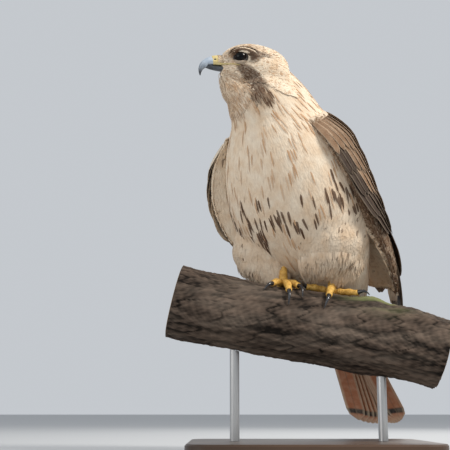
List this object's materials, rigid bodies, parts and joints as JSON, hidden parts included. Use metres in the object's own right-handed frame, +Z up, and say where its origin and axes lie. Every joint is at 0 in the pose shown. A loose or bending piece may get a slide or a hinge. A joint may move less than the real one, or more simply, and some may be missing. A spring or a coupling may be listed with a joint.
{
  "type": "perched red tailed hawk model",
  "caption": "Life-size still model of a perched red tailed hawk gripping a short cut branch, held by rods over a flat base.",
  "frame": {"origin": "centre of the underside of the stand's base, on the surface it stands on", "axes": "+Z up, +X along the branch towards its lower end, -Y the side of the branch that the bird's breast is turned to"},
  "size_m": [0.3584, 0.3114, 0.5166],
  "materials": {
    "head_feathers": "pale buff feathers with rusty streaks, brown cheek patch",
    "body_feathers": "cream feathers with brown drop streaks on the belly",
    "wing_feathers": "warm brown feathers with pale edges, near-black flight feathers",
    "tail_feathers": "brick-red feathers with a thin dark band near the tip",
    "foot_skin": "orange-yellow scaled skin",
    "eye": "wet, near-black brown",
    "cere": "smooth yellow skin",
    "bill_upper": "pale bluish horn with a dark tip",
    "bill_lower": "dark grey horn",
    "claw": "black horn",
    "bark": "rough grey-brown bark",
    "stand_wood": "dark stained wood, satin",
    "stand_metal": "brushed"
  },
  "bodies": {
    "root": {"head": "head_feathers", "neck": "body_feathers", "torso": "body_feathers", "tail": "tail_feathers", "wing_left": "wing_feathers", "wing_right": "wing_feathers", "thigh_left": "body_feathers", "thigh_right": "body_feathers", "shank_left": "foot_skin", "shank_right": "foot_skin", "foot_left": "foot_skin", "foot_right": "foot_skin", "eye_left": "eye", "eye_right": "eye", "cere": "cere", "bill_upper": "bill_upper", "bill_lower": "bill_lower", "perch": "bark", "stand_base": "stand_wood", "stand_rod_left": "stand_metal", "stand_rod_right": "stand_metal", "claw_left_inner": "claw", "claw_left_middle": "claw", "claw_left_outer": "claw", "claw_left_hind": "claw", "claw_right_inner": "claw", "claw_right_middle": "claw", "claw_right_outer": "claw", "claw_right_hind": "claw"}
  },
  "joints": []
}
